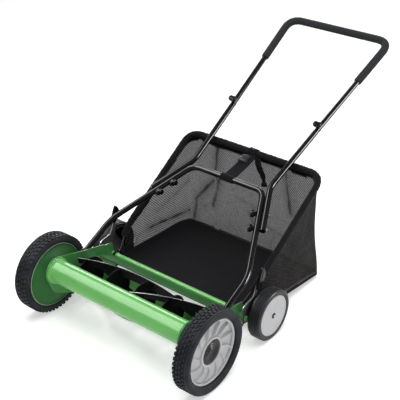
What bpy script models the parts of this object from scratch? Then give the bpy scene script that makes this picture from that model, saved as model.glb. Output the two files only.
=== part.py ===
"""Push reel mower with a grass catcher: a Blender 4.5 script, metres, +Z up.

The mower drives towards -Y and its left side, from behind the handle, is +X. Everything is placed
from the front axle: y = 0 is the axle line and z = 0 the ground. The parent empty then moves the
whole mower along Y, so that the world origin is the middle of its footprint.
"""
import math

import bmesh
import bpy
from mathutils import Matrix, Vector

# ---- driving dimensions, in metres -----------------------------------------------------------------
GAP = 0.0003                      # air left between two pieces that touch
SHIFT_Y = 0.5119                  # from the front axle to the middle of the footprint

WHEEL_R = 0.127                   # 10 in front wheels
WHEEL_OUT = 0.338                 # outer face of a front wheel, from the middle of the mower
WHEEL_IN = 0.283
BEAD_R = 0.1002                   # where the tyre sits on the hub
GEAR_MODULE = 0.0025
RING_TEETH = 74
PINION_TEETH = 10
GEAR_X = (0.2925, 0.3045)         # the ring gear and pinion, across the mower

TYRE_STEPS = 32

REAR_R = 0.081
REAR_Y = 0.2836
REAR_OUT = 0.334
REAR_IN = 0.292

PLATE_IN = 0.2555                 # inner face of a side plate
PLATE_T = 0.003
TUBE_R = 0.036                    # big cross tube
TUBE_Y, TUBE_Z = -0.020, 0.166
ROD_R = 0.0085
ROD_Y, ROD_Z = 0.222, 0.096

GEAR_CENTRES = (RING_TEETH - PINION_TEETH) / 2 * GEAR_MODULE
REEL_ANGLE = math.radians(-16.6)  # the reel lies behind and a little below the axle
REEL_Y = GEAR_CENTRES * math.cos(REEL_ANGLE)
REEL_Z = WHEEL_R + GEAR_CENTRES * math.sin(REEL_ANGLE)
REEL_R = 0.068
REEL_HALF = 0.2495
REEL_TWIST = math.radians(-142)
BLADES = 4
BLADE_START = math.radians(32.5)  # angle of the first blade at the middle of the reel
BLADE_INNER_R = 0.044
BLADE_T = 0.0022
SPIDERS = (("left_outer", 0.22), ("left", 0.11), ("middle", 0.0), ("right", -0.11), ("right_outer", -0.22))
SHAFT_R = 0.007
SHAFT_BORE = 0.0074

KNIFE_Y, KNIFE_Z = 0.118, 0.045   # trunnions that the cutter bar rocks on
BAR_GAP, BAR_T = 0.0055, 0.0025   # clear of the blades behind the reel, and its thickness

PIVOT_Y, PIVOT_Z = 0.205, 0.098   # rear wheel arm on its bracket
ARM_IN, ARM_OUT = 0.283, 0.286

HANDLE_R = 0.0095                 # 19 mm handle tube
HANDLE_Y, HANDLE_Z = 0.112, 0.1575
HANDLE_SLOPE = 0.466              # rise over run of the handle's plane
UPPER_R = 0.009
TUBE_WALL = 0.0015
FOAM_R = 0.013
LEG_X = 0.2690
LEG_END_Y = 0.098

CATCHER_X = 0.262                 # half width of the catcher
RIM_Y, RIM_Z = 0.640, 0.370       # middle of the catcher's top bar
WIRE_R = 0.0035
BINDING_R = 0.0105
FLOOR_FRONT = (0.258, 0.050)
WALL_FRONT_Y = 0.317              # where the full-height side walls begin; low flaps run in front of them
FLOOR_BACK = (0.630, 0.0125)

SIDES = (("left", 1), ("right", -1))

# ---- scene and materials ---------------------------------------------------------------------------
for old in list(bpy.data.objects):
    bpy.data.objects.remove(old, do_unlink=True)


def collection(name):
    made = bpy.data.collections.new(name)
    bpy.context.scene.collection.children.link(made)
    return made


PARTS = collection("reel_mower")
CUTTERS = collection("cutters")
ORIGIN = bpy.data.objects.new("mower_origin", None)
ORIGIN.location = (0, -SHIFT_Y, 0)
PARTS.objects.link(ORIGIN)


def material(name, colour, roughness, metallic=0.0):
    made = bpy.data.materials.new(name)
    made.use_nodes = True
    shader = made.node_tree.nodes["Principled BSDF"]
    shader.inputs["Base Color"].default_value = (*colour, 1)
    shader.inputs["Roughness"].default_value = roughness
    shader.inputs["Metallic"].default_value = metallic
    made.diffuse_color = (*colour, 1)
    return made


GREEN = material("green_paint", (0.06, 0.30, 0.05), 0.25)
DARK_GREEN = material("green_plate", (0.035, 0.20, 0.04), 0.35)
BLACK_PAINT = material("black_paint", (0.012, 0.012, 0.014), 0.25)
BLADE_STEEL = material("blade_steel", (0.03, 0.03, 0.032), 0.4, 0.6)
STEEL = material("bright_steel", (0.55, 0.55, 0.56), 0.35, 1.0)
ZINC = material("zinc_plate", (0.62, 0.62, 0.64), 0.3, 1.0)
RUBBER = material("tyre_rubber", (0.02, 0.02, 0.022), 0.8)
HUB = material("hub_plastic", (0.55, 0.55, 0.56), 0.45)
BLACK_PLASTIC = material("black_plastic", (0.014, 0.014, 0.016), 0.45)
FOAM = material("foam_grip", (0.02, 0.02, 0.022), 0.9)
CANVAS = material("canvas", (0.018, 0.018, 0.022), 0.9)
MESH_CLOTH = material("mesh_cloth", (0.10, 0.10, 0.10), 0.9)
WEBBING = material("webbing", (0.02, 0.02, 0.022), 0.8)


# ---- makers ----------------------------------------------------------------------------------------
def place(name, data, paint, location=(0, 0, 0), rotation=(0, 0, 0)):
    made = bpy.data.objects.new(name, data)
    made.location = location
    made.rotation_euler = rotation
    if paint is None:
        CUTTERS.objects.link(made)
        made.hide_render = True
        made.display_type = "WIRE"
    else:
        PARTS.objects.link(made)
        data.materials.append(paint)
    made.parent = ORIGIN
    return made


def turned(name, profile, paint, side=1, y=0.0, z=0.0, steps=32, closed=True, start=0.0):
    """A profile of (radius, distance from the middle of the mower) turned about a line along X."""
    data = bpy.data.meshes.new(name)
    points = [(radius * math.cos(start), radius * math.sin(start), out) for radius, out in profile]
    edges = [(i, i + 1) for i in range(len(points) - 1)]
    if closed:
        edges.append((len(points) - 1, 0))
    data.from_pydata(points, edges, [])
    made = place(name, data, paint, (0, y, z), (0, side * math.pi / 2, 0))
    screw = made.modifiers.new("turn", "SCREW")
    screw.axis = "Z"
    screw.angle = 2 * math.pi
    screw.steps = steps
    screw.render_steps = steps
    screw.use_merge_vertices = True
    screw.merge_threshold = 1e-5
    screw.use_smooth_shade = True
    return made


def rod(name, radius, start, end, paint, side=1, y=0.0, z=0.0, steps=16):
    """A plain round bar along X from start to end, its corners turned a little off the axes."""
    profile = [(0, end), (radius, end), (radius, start), (0, start)]
    return turned(name, profile, paint, side, y, z, steps, closed=False, start=0.11)


def plate(name, outlines, start, end, paint, side=1):
    """Flat outlines of (y, z), the first the edge and the rest holes, from start to end across X."""
    data = bpy.data.curves.new(name, "CURVE")
    data.dimensions = "2D"
    data.fill_mode = "BOTH"
    data.extrude = abs(end - start) / 2
    for outline in outlines:
        spline = data.splines.new("POLY")
        spline.points.add(len(outline) - 1)
        for point, (y, z) in zip(spline.points, outline):
            point.co = (y, z, 0, 1)
        spline.use_cyclic_u = True
    return place(name, data, paint, (side * (start + end) / 2, 0, 0), (math.pi / 2, 0, math.pi / 2))


def wire(name, points, radius, paint, resolution=2):
    """A round tube along the points."""
    data = bpy.data.curves.new(name, "CURVE")
    data.dimensions = "3D"
    data.bevel_depth = radius
    data.bevel_resolution = resolution
    data.use_fill_caps = True
    spline = data.splines.new("POLY")
    spline.points.add(len(points) - 1)
    for point, co in zip(spline.points, points):
        point.co = (*co, 1)
    return place(name, data, paint)


def as_mesh(made):
    """The same object with its curve turned into a closed mesh."""
    bpy.context.view_layer.update()
    evaluated = made.evaluated_get(bpy.context.evaluated_depsgraph_get())
    data = bpy.data.meshes.new_from_object(evaluated)
    shape = bmesh.new()
    shape.from_mesh(data)
    bmesh.ops.remove_doubles(shape, verts=shape.verts, dist=1e-6)
    bmesh.ops.recalc_face_normals(shape, faces=shape.faces)
    shape.to_mesh(data)
    shape.free()
    name, place_in = made.name, made.users_collection[0]
    solid = bpy.data.objects.new(name, data)
    solid.parent = ORIGIN
    solid.location = made.location
    solid.rotation_euler = made.rotation_euler
    solid.hide_render = made.hide_render
    solid.display_type = made.display_type
    bpy.data.objects.remove(made, do_unlink=True)
    solid.name = name
    place_in.objects.link(solid)
    return solid


def combine(made, other, operation):
    change = made.modifiers.new(operation.lower(), "BOOLEAN")
    change.operation = operation
    change.object = other
    change.solver = "EXACT"


def sleeve(name, path, radius, hole, paint, resolution=2, cross_holes=()):
    """A hollow tube along a path, open at both ends, with any holes drilled across it."""
    outer = as_mesh(wire(name, path, radius, paint, resolution))
    first = path[0] + (path[0] - path[1]).normalized() * 0.010
    last = path[-1] + (path[-1] - path[-2]).normalized() * 0.010
    core = as_mesh(wire(name + "_bore", [first] + path[1:-1] + [last], hole, None, resolution))
    for cutter in cross_holes:
        combine(outer, cutter, "DIFFERENCE")
    combine(outer, core, "DIFFERENCE")


def bore(made, radius, start, end, side=1, y=0.0, z=0.0):
    combine(made, rod(made.name + "_bore", radius, start, end, None, side, y, z), "DIFFERENCE")


def arc(centre, radius, start, end, count):
    """Points of (y, z) on a round stretch, in degrees, from start to end."""
    turn = [math.radians(start + (end - start) * i / count) for i in range(count + 1)]
    return [(centre[0] + radius * math.cos(a), centre[1] + radius * math.sin(a)) for a in turn]


def circle(centre, radius, count=16):
    return arc(centre, radius, 0, 360, count)[:-1]


def rounded(points, radius, count=5):
    """The corners of a path, each replaced by a smooth bend that starts radius away from it."""
    path = [Vector(points[0])]
    for before, corner, after in zip(points, points[1:], points[2:]):
        corner = Vector(corner)
        enter = corner + (Vector(before) - corner).normalized() * radius
        leave = corner + (Vector(after) - corner).normalized() * radius
        for i in range(count + 1):
            t = i / count
            path.append(enter * (1 - t) ** 2 + corner * 2 * t * (1 - t) + leave * t ** 2)
    path.append(Vector(points[-1]))
    return path


def mirrored(points):
    """A path from the right side to the left one, from its left half that ends near the middle."""
    return points + [Vector((-x, y, z)) for x, y, z in reversed(points)]


def handle_z(y):
    return HANDLE_Z + HANDLE_SLOPE * (y - HANDLE_Y)


def on_handle(x, y):
    return Vector((x, y, handle_z(y)))


# ---- chassis ---------------------------------------------------------------------------------------
def side_plate(name, side):
    axle, reel = (0, WHEEL_R), (REEL_Y, REEL_Z)
    edge = arc((TUBE_Y, TUBE_Z), 0.044, 62, 205, 10)
    edge += arc(axle, 0.050, 205, 250, 3)
    edge += arc((0.085, 0.062), 0.034, 235, 275, 3)
    edge += arc((KNIFE_Y, KNIFE_Z), 0.016, 270, 380, 5)
    edge += [(0.122, 0.095), (0.150, 0.126), (0.186, 0.120), (0.186, 0.150), (0.089, 0.177)]
    holes = [circle(reel, SHAFT_BORE + 0.0002), circle((KNIFE_Y, KNIFE_Z), 0.0057, 10)]
    plate(name, [edge] + holes, PLATE_IN, PLATE_IN + PLATE_T, DARK_GREEN, side)


def rear_bracket(name, side):
    """Plate behind the side plate, with the stud that the rear wheel arm swings on."""
    inner = PLATE_IN + PLATE_T + 0.0005
    outer = inner + PLATE_T
    edge = [(0.152, 0.128), (0.152, 0.149), (0.206, 0.1405)]
    edge += arc((0.216, 0.128), 0.010, 60, 0, 3)
    edge += arc((0.222, 0.056), 0.012, 0, -100, 4) + [(0.188, 0.072)]
    bracket = as_mesh(plate(name, [edge], inner, outer, DARK_GREEN, side))
    head = ARM_OUT + GAP
    stud = [(0, head + 0.004), (0.009, head + 0.004), (0.009, head), (0.006, head)]
    stud += [(0.006, ARM_IN - GAP), (0.011, ARM_IN - GAP), (0.011, outer - 0.001), (0, outer - 0.001)]
    combine(bracket, turned(name + "_stud", stud, None, side, PIVOT_Y, PIVOT_Z, 16, False), "UNION")


def gear_cover(name, side):
    """Shallow dish that closes the inner side of a front wheel."""
    middle = [(0.0135, 0.2600), (0.030, 0.2600), (0.088, 0.2845), (0.1030, 0.2880)]
    half = 0.0008
    profile = [(r, x + half) for r, x in middle] + [(r, x - half) for r, x in reversed(middle)]
    cover = turned(name, profile, DARK_GREEN, side, 0, WHEEL_R, 32)
    bore(cover, 0.0105, 0.25, 0.31, side, REEL_Y, REEL_Z)


def front_axle(name, side):
    base = PLATE_IN + PLATE_T + GAP
    profile = [(0, 0.3150), (0.008, 0.3150), (0.008, base + 0.003), (0.0125, base + 0.003)]
    profile += [(0.0125, base), (0, base)]
    turned(name, profile, STEEL, side, 0, WHEEL_R, 20, False)


def front_tube():
    end, flange, neck = PLATE_IN - GAP, 0.2505, 0.2480
    half = [(0.0345, end), (0.0425, end), (0.0425, flange), (TUBE_R, neck)]
    profile = half + [(r, -x) for r, x in reversed(half)]
    turned("front_tube", profile, GREEN, 1, TUBE_Y, TUBE_Z, 28)


def rear_rod():
    end, sleeve = PLATE_IN + PLATE_T, 0.236
    half = [(0, end), (ROD_R + 0.001, end), (ROD_R + 0.001, sleeve), (ROD_R, sleeve)]
    profile = half + [(r, -x) for r, x in reversed(half)]
    turned("rear_rod", profile, GREEN, 1, ROD_Y, ROD_Z, 16, False)


def rear_deflector():
    edge = [(0.1500, 0.1290), (0.1490, 0.1330), (0.1530, 0.1335), (0.2010, 0.1091), (0.1995, 0.1064)]
    edge += [(0.1540, 0.1298)]
    plate("rear_deflector", [edge], -PLATE_IN + GAP, PLATE_IN - GAP, GREEN)


def handle_bolt(name, side):
    base, head = PLATE_IN + PLATE_T + GAP, LEG_X + HANDLE_R + GAP
    profile = [(0, head + 0.0016), (0.008, head + 0.0016), (0.008, head), (0.004, head), (0.004, base)]
    turned(name, profile + [(0, base)], STEEL, side, HANDLE_Y, HANDLE_Z, 12, False)


# ---- cutter bar and reel ---------------------------------------------------------------------------
def cutter_bar():
    """Bar under the reel, bent up behind it at an even gap, with an ear and a pin at each end."""
    inner = arc((REEL_Y, REEL_Z), REEL_R + BAR_GAP, -60, 0, 8)
    outer = arc((REEL_Y, REEL_Z), REEL_R + BAR_GAP + BAR_T, 0, -58, 8)
    edge = [(0.0880, 0.0290), (0.0880, 0.0318), (0.1096, 0.0318)] + inner + outer + [(0.1150, 0.0290)]
    bar = as_mesh(plate("cutter_bar", [edge], -0.2505, 0.2505, GREEN))
    for side_name, side in SIDES:
        pin = rod("cutter_bar_pin_" + side_name, 0.005, 0.2500, 0.2590, None, side, KNIFE_Y, KNIFE_Z, 12)
        lug = [(0.1040, 0.0300), (0.1060, 0.0500), (0.1180, 0.0580), (0.1400, 0.0620), (0.1270, 0.0420)]
        lug += [(0.1120, 0.0295)]
        ear = as_mesh(plate("cutter_bar_ear_" + side_name, [lug], 0.2500, 0.2525, None, side))
        combine(bar, ear, "UNION")
        combine(bar, pin, "UNION")


def bedknife():
    top = REEL_Z - REEL_R - 0.0006
    edge = [(0.0790, top), (0.1090, top), (0.1090, 0.0326), (0.0810, 0.0326)]
    plate("bedknife", [edge], -0.2495, 0.2495, STEEL)


def reel_shaft():
    rod("reel_shaft", SHAFT_R, -0.3070, 0.3070, BLADE_STEEL, 1, REEL_Y, REEL_Z, 16)


def reel_blade(number):
    """A flat strip, twisted about the reel's own axis."""
    shape = bmesh.new()
    bmesh.ops.create_cube(shape, size=1)
    bmesh.ops.scale(shape, verts=shape.verts, vec=(2 * REEL_HALF, REEL_R - BLADE_INNER_R, BLADE_T))
    bmesh.ops.translate(shape, verts=shape.verts, vec=(0, (REEL_R + BLADE_INNER_R) / 2, 0))
    along = [e for e in shape.edges if abs(e.verts[0].co.x - e.verts[1].co.x) > REEL_HALF]
    bmesh.ops.subdivide_edges(shape, edges=along, cuts=19)
    turn = Matrix.Rotation(BLADE_START + number * 2 * math.pi / BLADES, 4, "X")
    bmesh.ops.transform(shape, matrix=turn, verts=shape.verts)
    data = bpy.data.meshes.new("reel_blade")
    shape.to_mesh(data)
    shape.free()
    blade = place(f"reel_blade_{number + 1}", data, BLADE_STEEL, (0, REEL_Y, REEL_Z))
    twist = blade.modifiers.new("twist", "SIMPLE_DEFORM")
    twist.deform_method = "TWIST"
    twist.deform_axis = "X"
    twist.angle = REEL_TWIST


def reel_spider(name, x):
    """Disc on the shaft, slotted at its edge for the blades."""
    centre, rim, slot, floor = (REEL_Y, REEL_Z), 0.0645, BLADE_T / 2 + 0.0012, BLADE_INNER_R - 0.0004
    edge = []
    for number in range(BLADES):
        middle = math.degrees(BLADE_START + REEL_TWIST * x / (2 * REEL_HALF)) + number * 360 / BLADES
        low, high = math.degrees(slot / floor), math.degrees(slot / rim)
        edge += arc(centre, floor, middle - low, middle + low, 1)
        edge += arc(centre, rim, middle + high, middle + 360 / BLADES - high, 5)
    plate(name, [edge, circle(centre, SHAFT_BORE)], x - 0.0012, x + 0.0012, BLADE_STEEL)


RING_SHAPE = ((0, -0.5), (1, 0.0))  # one tooth: (root 0 or tip 1, share of a pitch)
PINION_SHAPE = ((0, -0.22), (1, -0.08), (1, 0.08), (0, 0.22))


def gear_outline(centre, teeth, root, tip, first, shape):
    """Straight-sided teeth; first is the angle of a tooth's middle."""
    pitch = 2 * math.pi / teeth
    edge = []
    for number in range(teeth):
        for at_tip, share in shape:
            radius = tip if at_tip else root
            angle = first + (number + share) * pitch
            edge.append((centre[0] + radius * math.cos(angle), centre[1] + radius * math.sin(angle)))
    return edge


def pinion(name, side):
    centre = (REEL_Y, REEL_Z)
    edge = gear_outline(centre, PINION_TEETH, 0.0096, 0.0145, REEL_ANGLE, PINION_SHAPE)
    plate(name, [edge, circle(centre, SHAFT_BORE)], *GEAR_X, STEEL, side)


# ---- wheels ----------------------------------------------------------------------------------------
def tyre(name, profile, side, y, radius):
    """A tyre that stands on a flat facet, so its corners lie a little outside its radius."""
    half_step = math.pi / TYRE_STEPS
    profile = [(r / math.cos(half_step), x) for r, x in profile]
    turned(name, profile, RUBBER, side, y, radius, TYRE_STEPS, start=half_step)


def front_tyre(name, side):
    profile = [(BEAD_R, WHEEL_OUT - 0.0100), (0.1180, WHEEL_OUT - 0.0010), (WHEEL_R - 0.005, WHEEL_OUT)]
    profile += [(WHEEL_R, WHEEL_OUT - 0.006), (WHEEL_R, WHEEL_IN + 0.006)]
    profile += [(WHEEL_R - 0.005, WHEEL_IN), (0.1050, WHEEL_IN), (0.1045, 0.2905), (BEAD_R, 0.2905)]
    tyre(name, profile, side, 0, WHEEL_R)


def front_hub(name, side):
    """Dished hub with the internal ring gear moulded on its inner side."""
    rim, barrel = BEAD_R - GAP, 0.0966
    profile = [(0.0084, 0.3160), (0.0390, 0.3160), (0.0410, 0.3235), (0.0450, 0.3180), (0.0900, 0.3190)]
    profile += [(rim, 0.3265), (rim, 0.2910), (barrel, 0.2910), (barrel, 0.3140)]
    hub = turned(name, profile + [(0.0200, 0.3130), (0.0084, 0.3000)], HUB, side, 0, WHEEL_R, 32)
    centre = (0, WHEEL_R)
    space = REEL_ANGLE + math.pi / RING_TEETH
    teeth = gear_outline(centre, RING_TEETH, 0.0958, 0.0905, space, RING_SHAPE)
    ring = plate(name + "_teeth", [circle(centre, 0.0982, 24), teeth], 0.2920, 0.3060, None, side)
    combine(hub, as_mesh(ring), "UNION")


def hub_cap(name, side):
    base = 0.3163
    profile = [(0, base + 0.0062), (0.0330, base + 0.0062), (0.0380, base + 0.0048), (0.0380, base)]
    turned(name, profile + [(0, base)], BLACK_PLASTIC, side, 0, WHEEL_R, 24, False)


def rear_tyre(name, side):
    bead, shoulder = 0.0645, 0.005
    profile = [(bead, REAR_OUT - 0.002), (REAR_R - 0.004, REAR_OUT), (REAR_R, REAR_OUT - shoulder)]
    profile += [(REAR_R, REAR_IN + shoulder), (REAR_R - 0.004, REAR_IN), (bead, REAR_IN + 0.002)]
    tyre(name, profile, side, REAR_Y, REAR_R)


def rear_hub(name, side):
    rim, outer = 0.0645 - GAP, REAR_OUT - 0.0015
    profile = [(0.0064, outer), (rim, outer), (rim, REAR_IN + 0.003), (0.0600, REAR_IN + 0.003)]
    profile += [(0.0600, outer - 0.003), (0.0130, outer - 0.003)]
    turned(name, profile + [(0.0064, REAR_IN + 0.002)], HUB, side, REAR_Y, REAR_R, 32)


def rear_axle_bolt(name, side):
    head, base = REAR_OUT - 0.0015 + GAP, ARM_OUT + GAP
    profile = [(0, head + 0.0035), (0.0075, head + 0.0035), (0.0075, head), (0.006, head)]
    profile += [(0.006, REAR_IN + 0.0010), (0.011, REAR_IN + 0.0010), (0.011, base), (0, base)]
    turned(name, profile, STEEL, side, REAR_Y, REAR_R, 12, False)


def height_arm(name, side):
    """Zinc-plated arm that carries a rear wheel and swings to set the height of cut."""
    edge = arc((PIVOT_Y, PIVOT_Z), 0.017, 265, 150, 6) + [(0.191, 0.133)]
    edge += arc((0.208, 0.128), 0.018, 160, 90, 3) + [(0.229, 0.149), (0.243, 0.151), (0.253, 0.168)]
    edge += [(0.259, 0.184)]
    edge += [(0.271, 0.178), (0.264, 0.158), (0.266, 0.140), (0.290, 0.104)]
    edge += arc((REAR_Y, REAR_R), 0.017, 40, -95, 6)
    plate(name, [edge, circle((PIVOT_Y, PIVOT_Z), 0.0064)], ARM_IN, ARM_OUT, ZINC, side)


def height_lever(name, side):
    base = ARM_OUT + GAP
    edge = [(0.257, 0.170), (0.255, 0.182), (0.262, 0.200), (0.270, 0.220), (0.279, 0.237), (0.284, 0.236)]
    edge += [(0.295, 0.216), (0.293, 0.203), (0.281, 0.186), (0.270, 0.172)]
    plate(name, [edge], base, base + 0.008, BLACK_PLASTIC, side)


# ---- handle ----------------------------------------------------------------------------------------
LEG_BEND_Y = 0.237
TOP_X, TOP_Y = 0.138, 0.499       # corner of the lower U, where its two straight runs would meet
LEG_RUN = (on_handle(TOP_X, TOP_Y) - on_handle(LEG_X, LEG_BEND_Y)).normalized()
LEG_SIDE = Vector((-LEG_RUN.y, LEG_RUN.x, 0)).normalized() * -1
KNOB_Y = (0.382, 0.427)
MID_GAP = 2 * HANDLE_R + GAP
MID_BEND_Y = 0.520
JOINT_Y = 0.742
UPPER_KNOB_Y = 0.757
UPPER_TOP = (0.1985, 1.1385)      # corner of the upper U


def leg_point(y):
    """Middle of the lower U's leg at y, above its bend."""
    start = on_handle(LEG_X, LEG_BEND_Y)
    return start + LEG_RUN * ((y - start.y) / LEG_RUN.y)


def lower_handle():
    half = [on_handle(LEG_X, LEG_END_Y), on_handle(LEG_X, LEG_BEND_Y), on_handle(TOP_X, TOP_Y)]
    half = rounded(half + [on_handle(0, TOP_Y)], 0.032)[:-1]
    holes = [knob_hole(side, y) for _, side in SIDES for y in KNOB_Y]
    for _, side in SIDES:
        holes.append(rod("bolt_hole", 0.0043, 0.250, 0.290, None, side, HANDLE_Y, HANDLE_Z, 12))
    sleeve("lower_handle", mirrored(half), HANDLE_R, HANDLE_R - TUBE_WALL, BLACK_PAINT, cross_holes=holes)


def knob_line(side, y):
    """Where a clamp bolt crosses the leg, and the way it points, outwards."""
    point, out = leg_point(y), LEG_SIDE.copy()
    point.x *= side
    out.x *= side
    return point, out


def cross_hole(point, rotation):
    hole = rod("knob_hole", 0.0034, -0.040, 0.040, None, 1, 0, 0, 8)
    hole.location = point
    hole.rotation_euler = rotation
    return hole


def knob_hole(side, y):
    point, out = knob_line(side, y)
    return cross_hole(point, out.to_track_quat("Z", "Y").to_euler())


def middle_tube(name, side):
    start = leg_point(0.372) + LEG_SIDE * MID_GAP
    bend = leg_point(MID_BEND_Y - 0.010) + LEG_SIDE * MID_GAP
    path = [start, bend, on_handle(0.1660, JOINT_Y)]
    path = [Vector((side * p.x, p.y, handle_z(p.y))) for p in rounded(path, 0.022)]
    holes = [knob_hole(side, y) for y in KNOB_Y]
    sleeve(name, path, HANDLE_R, HANDLE_R - TUBE_WALL, BLACK_PAINT, cross_holes=holes)


def upper_path(start_y):
    lower = on_handle(0.1660, JOINT_Y + 2 * GAP)
    corner = on_handle(*UPPER_TOP)
    run = corner - lower
    start = lower + run * ((start_y - lower.y) / run.y)
    return mirrored(rounded([start, corner, on_handle(0, UPPER_TOP[1])], 0.050, 5)[:-1])


def upper_handle():
    holes = [cross_hole(*upper_knob_line(side)) for _, side in SIDES]
    path = upper_path(JOINT_Y + 2 * GAP)
    sleeve("upper_handle", path, UPPER_R, UPPER_R - TUBE_WALL, BLACK_PAINT, cross_holes=holes)


def upper_knob_line(side):
    """Where an upper knob's bolt crosses the tube: it stands square to the handle's plane."""
    start = upper_path(UPPER_KNOB_Y)[0]
    lean = Vector((0, -HANDLE_SLOPE, 1)).to_track_quat("Z", "Y").to_euler()
    return Vector((side * start.x, start.y, start.z)), lean


def foam_grip():
    sleeve("foam_grip", upper_path(0.957), FOAM_R, UPPER_R + GAP, FOAM)


def knob_profile(near, far):
    """A knob from near outwards, its bolt through the tubes, and the bolt's head at far."""
    profile = [(0, near + 0.017), (0.0080, near + 0.017), (0.0105, near + 0.010), (0.0075, near)]
    profile += [(0.0030, near), (0.0030, far), (0.0055, far), (0.0055, far - 0.003)]
    return profile + [(0, far - 0.003)]


def inner_knob(name, side, y):
    """Knob on the inner side of the leg; its bolt holds the leg and the middle tube together."""
    point, out = knob_line(side, y)
    near, far = HANDLE_R + GAP, -MID_GAP - HANDLE_R - GAP
    knob = turned(name, knob_profile(near, far), BLACK_PLASTIC, 1, 0, 0, 10, False)
    knob.location = point
    knob.rotation_euler = (-out).to_track_quat("Z", "Y").to_euler()


def upper_knob(name, side):
    point, lean = upper_knob_line(side)
    near = UPPER_R + GAP
    knob = turned(name, knob_profile(near, -near), BLACK_PLASTIC, 1, 0, 0, 10, False)
    knob.location = point
    knob.rotation_euler = lean


# ---- grass catcher ---------------------------------------------------------------------------------
def rim_path():
    """The catcher's wire on the left: the hook round the rod, then the rim up to the top bar."""
    hook_r = ROD_R + 0.001 + WIRE_R + GAP
    hook = [Vector((0.243, y, z)) for y, z in arc((ROD_Y, ROD_Z), hook_r, 180, 20, 7)]
    rise = [(0.246, 0.252, 0.112), (CATCHER_X, 0.300, 0.158), (CATCHER_X, RIM_Y, RIM_Z), (0, RIM_Y, RIM_Z)]
    rim = rounded(rise, 0.050, 5)[:-1]
    return hook + rim[:1], rim[1:]


def catcher_frame():
    hook, rim = rim_path()
    wire("catcher_frame", mirrored(hook + rim), WIRE_R, BLACK_PAINT, 1)


def rim_binding():
    sleeve("rim_binding", mirrored(rim_path()[1]), BINDING_R, WIRE_R + GAP, CANVAS, 1)


def floor_z(y):
    (y0, z0), (y1, z1) = FLOOR_FRONT, FLOOR_BACK
    return z0 + (z1 - z0) * (y - y0) / (y1 - y0)


def cloth(name, points, faces, thickness, paint):
    """A cloth panel: an open surface given its thickness."""
    data = bpy.data.meshes.new(name)
    data.from_pydata(points, [], faces)
    made = place(name, data, paint)
    thicken = made.modifiers.new("thickness", "SOLIDIFY")
    thicken.thickness = thickness
    thicken.offset = 0
    return made


def catcher_bag():
    """Low front flaps, side walls and back wall in one strip; wider at the floor than above."""
    back = FLOOR_BACK[0] + 0.004
    rim_rise = (RIM_Z - 0.158) / (RIM_Y - 0.300)
    below = (BINDING_R + 0.002) * math.hypot(1, rim_rise)
    half = [(0.262, 0.098), (0.312, 0.083)]
    half += [(y, 0.158 - below + rim_rise * (y - 0.300)) for y in (WALL_FRONT_Y, 0.450, 0.605)]
    half = [(1, y, top) for y, top in half + [(back, RIM_Z - BINDING_R - 0.006)]]
    strip = half + [(-x, y, top) for x, y, top in reversed(half)]
    low = [(x * floor_half(y), y, floor_z(y)) for x, y, _ in strip]
    high = [(x * (2 * CATCHER_X - floor_half(y)), y, top) for x, y, top in strip]
    count = len(strip)
    faces = [(i, i + 1, count + i + 1, count + i) for i in range(count - 1)]
    cloth("catcher_bag", low + high, faces, 0.0025, MESH_CLOTH)


def floor_half(y):
    """Half width of the floor, which widens to the back."""
    return CATCHER_X + 0.0105 * (y - FLOOR_FRONT[0]) / (FLOOR_BACK[0] - FLOOR_FRONT[0])


def catcher_floor():
    ends = (FLOOR_FRONT[0], FLOOR_BACK[0] + 0.002)
    corners = [(x * (floor_half(y) - 0.0018), y, floor_z(y) + 0.0015) for y in ends for x in (1, -1)]
    cloth("catcher_floor", corners, [(0, 1, 3, 2)], 0.003, CANVAS)


def catcher_strap():
    """Flat strap from the catcher's top bar to the lower handle's cross bar."""
    top, bar = Vector((0, RIM_Y, RIM_Z)), on_handle(0, TOP_Y)
    along = (bar - top).normalized()
    across = Vector((0, -along.z, along.y)) * 0.0015
    start, end = top + along * (BINDING_R + 0.001), bar - along * (HANDLE_R + 0.006)
    corners = [start + across, start - across, end - across, end + across]
    plate("catcher_strap", [[(c.y, c.z) for c in corners]], -0.019, 0.019, WEBBING)


# ---- build -----------------------------------------------------------------------------------------
for side_name, side in SIDES:
    for maker in (side_plate, rear_bracket, gear_cover, front_axle, handle_bolt, pinion):
        maker(f"{maker.__name__}_{side_name}", side)
    for maker in (front_tyre, front_hub, hub_cap, rear_tyre, rear_hub, rear_axle_bolt, height_arm):
        maker(f"{maker.__name__}_{side_name}", side)
    height_lever(f"height_lever_{side_name}", side)
    middle_tube(f"middle_tube_{side_name}", side)
    upper_knob(f"upper_knob_{side_name}", side)
    for number, y in enumerate(KNOB_Y, 1):
        inner_knob(f"inner_knob_{side_name}_{number}", side, y)
front_tube()
rear_rod()
rear_deflector()
cutter_bar()
bedknife()
reel_shaft()
for number in range(BLADES):
    reel_blade(number)
for spider_name, x in SPIDERS:
    reel_spider("reel_spider_" + spider_name, x)
lower_handle()
upper_handle()
foam_grip()
catcher_frame()
rim_binding()
catcher_bag()
catcher_floor()
catcher_strap()
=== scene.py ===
"""Looks of the reel mower: every visible surface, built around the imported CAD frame.

Points given as at(x, y, z) are metres from the middle of the front axle line, with z from the ground,
as in the part's own script. +X is the mower's left side, and it drives towards -Y.
"""
import math

import bmesh
import bpy
from mathutils import Matrix, Vector, noise


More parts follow.
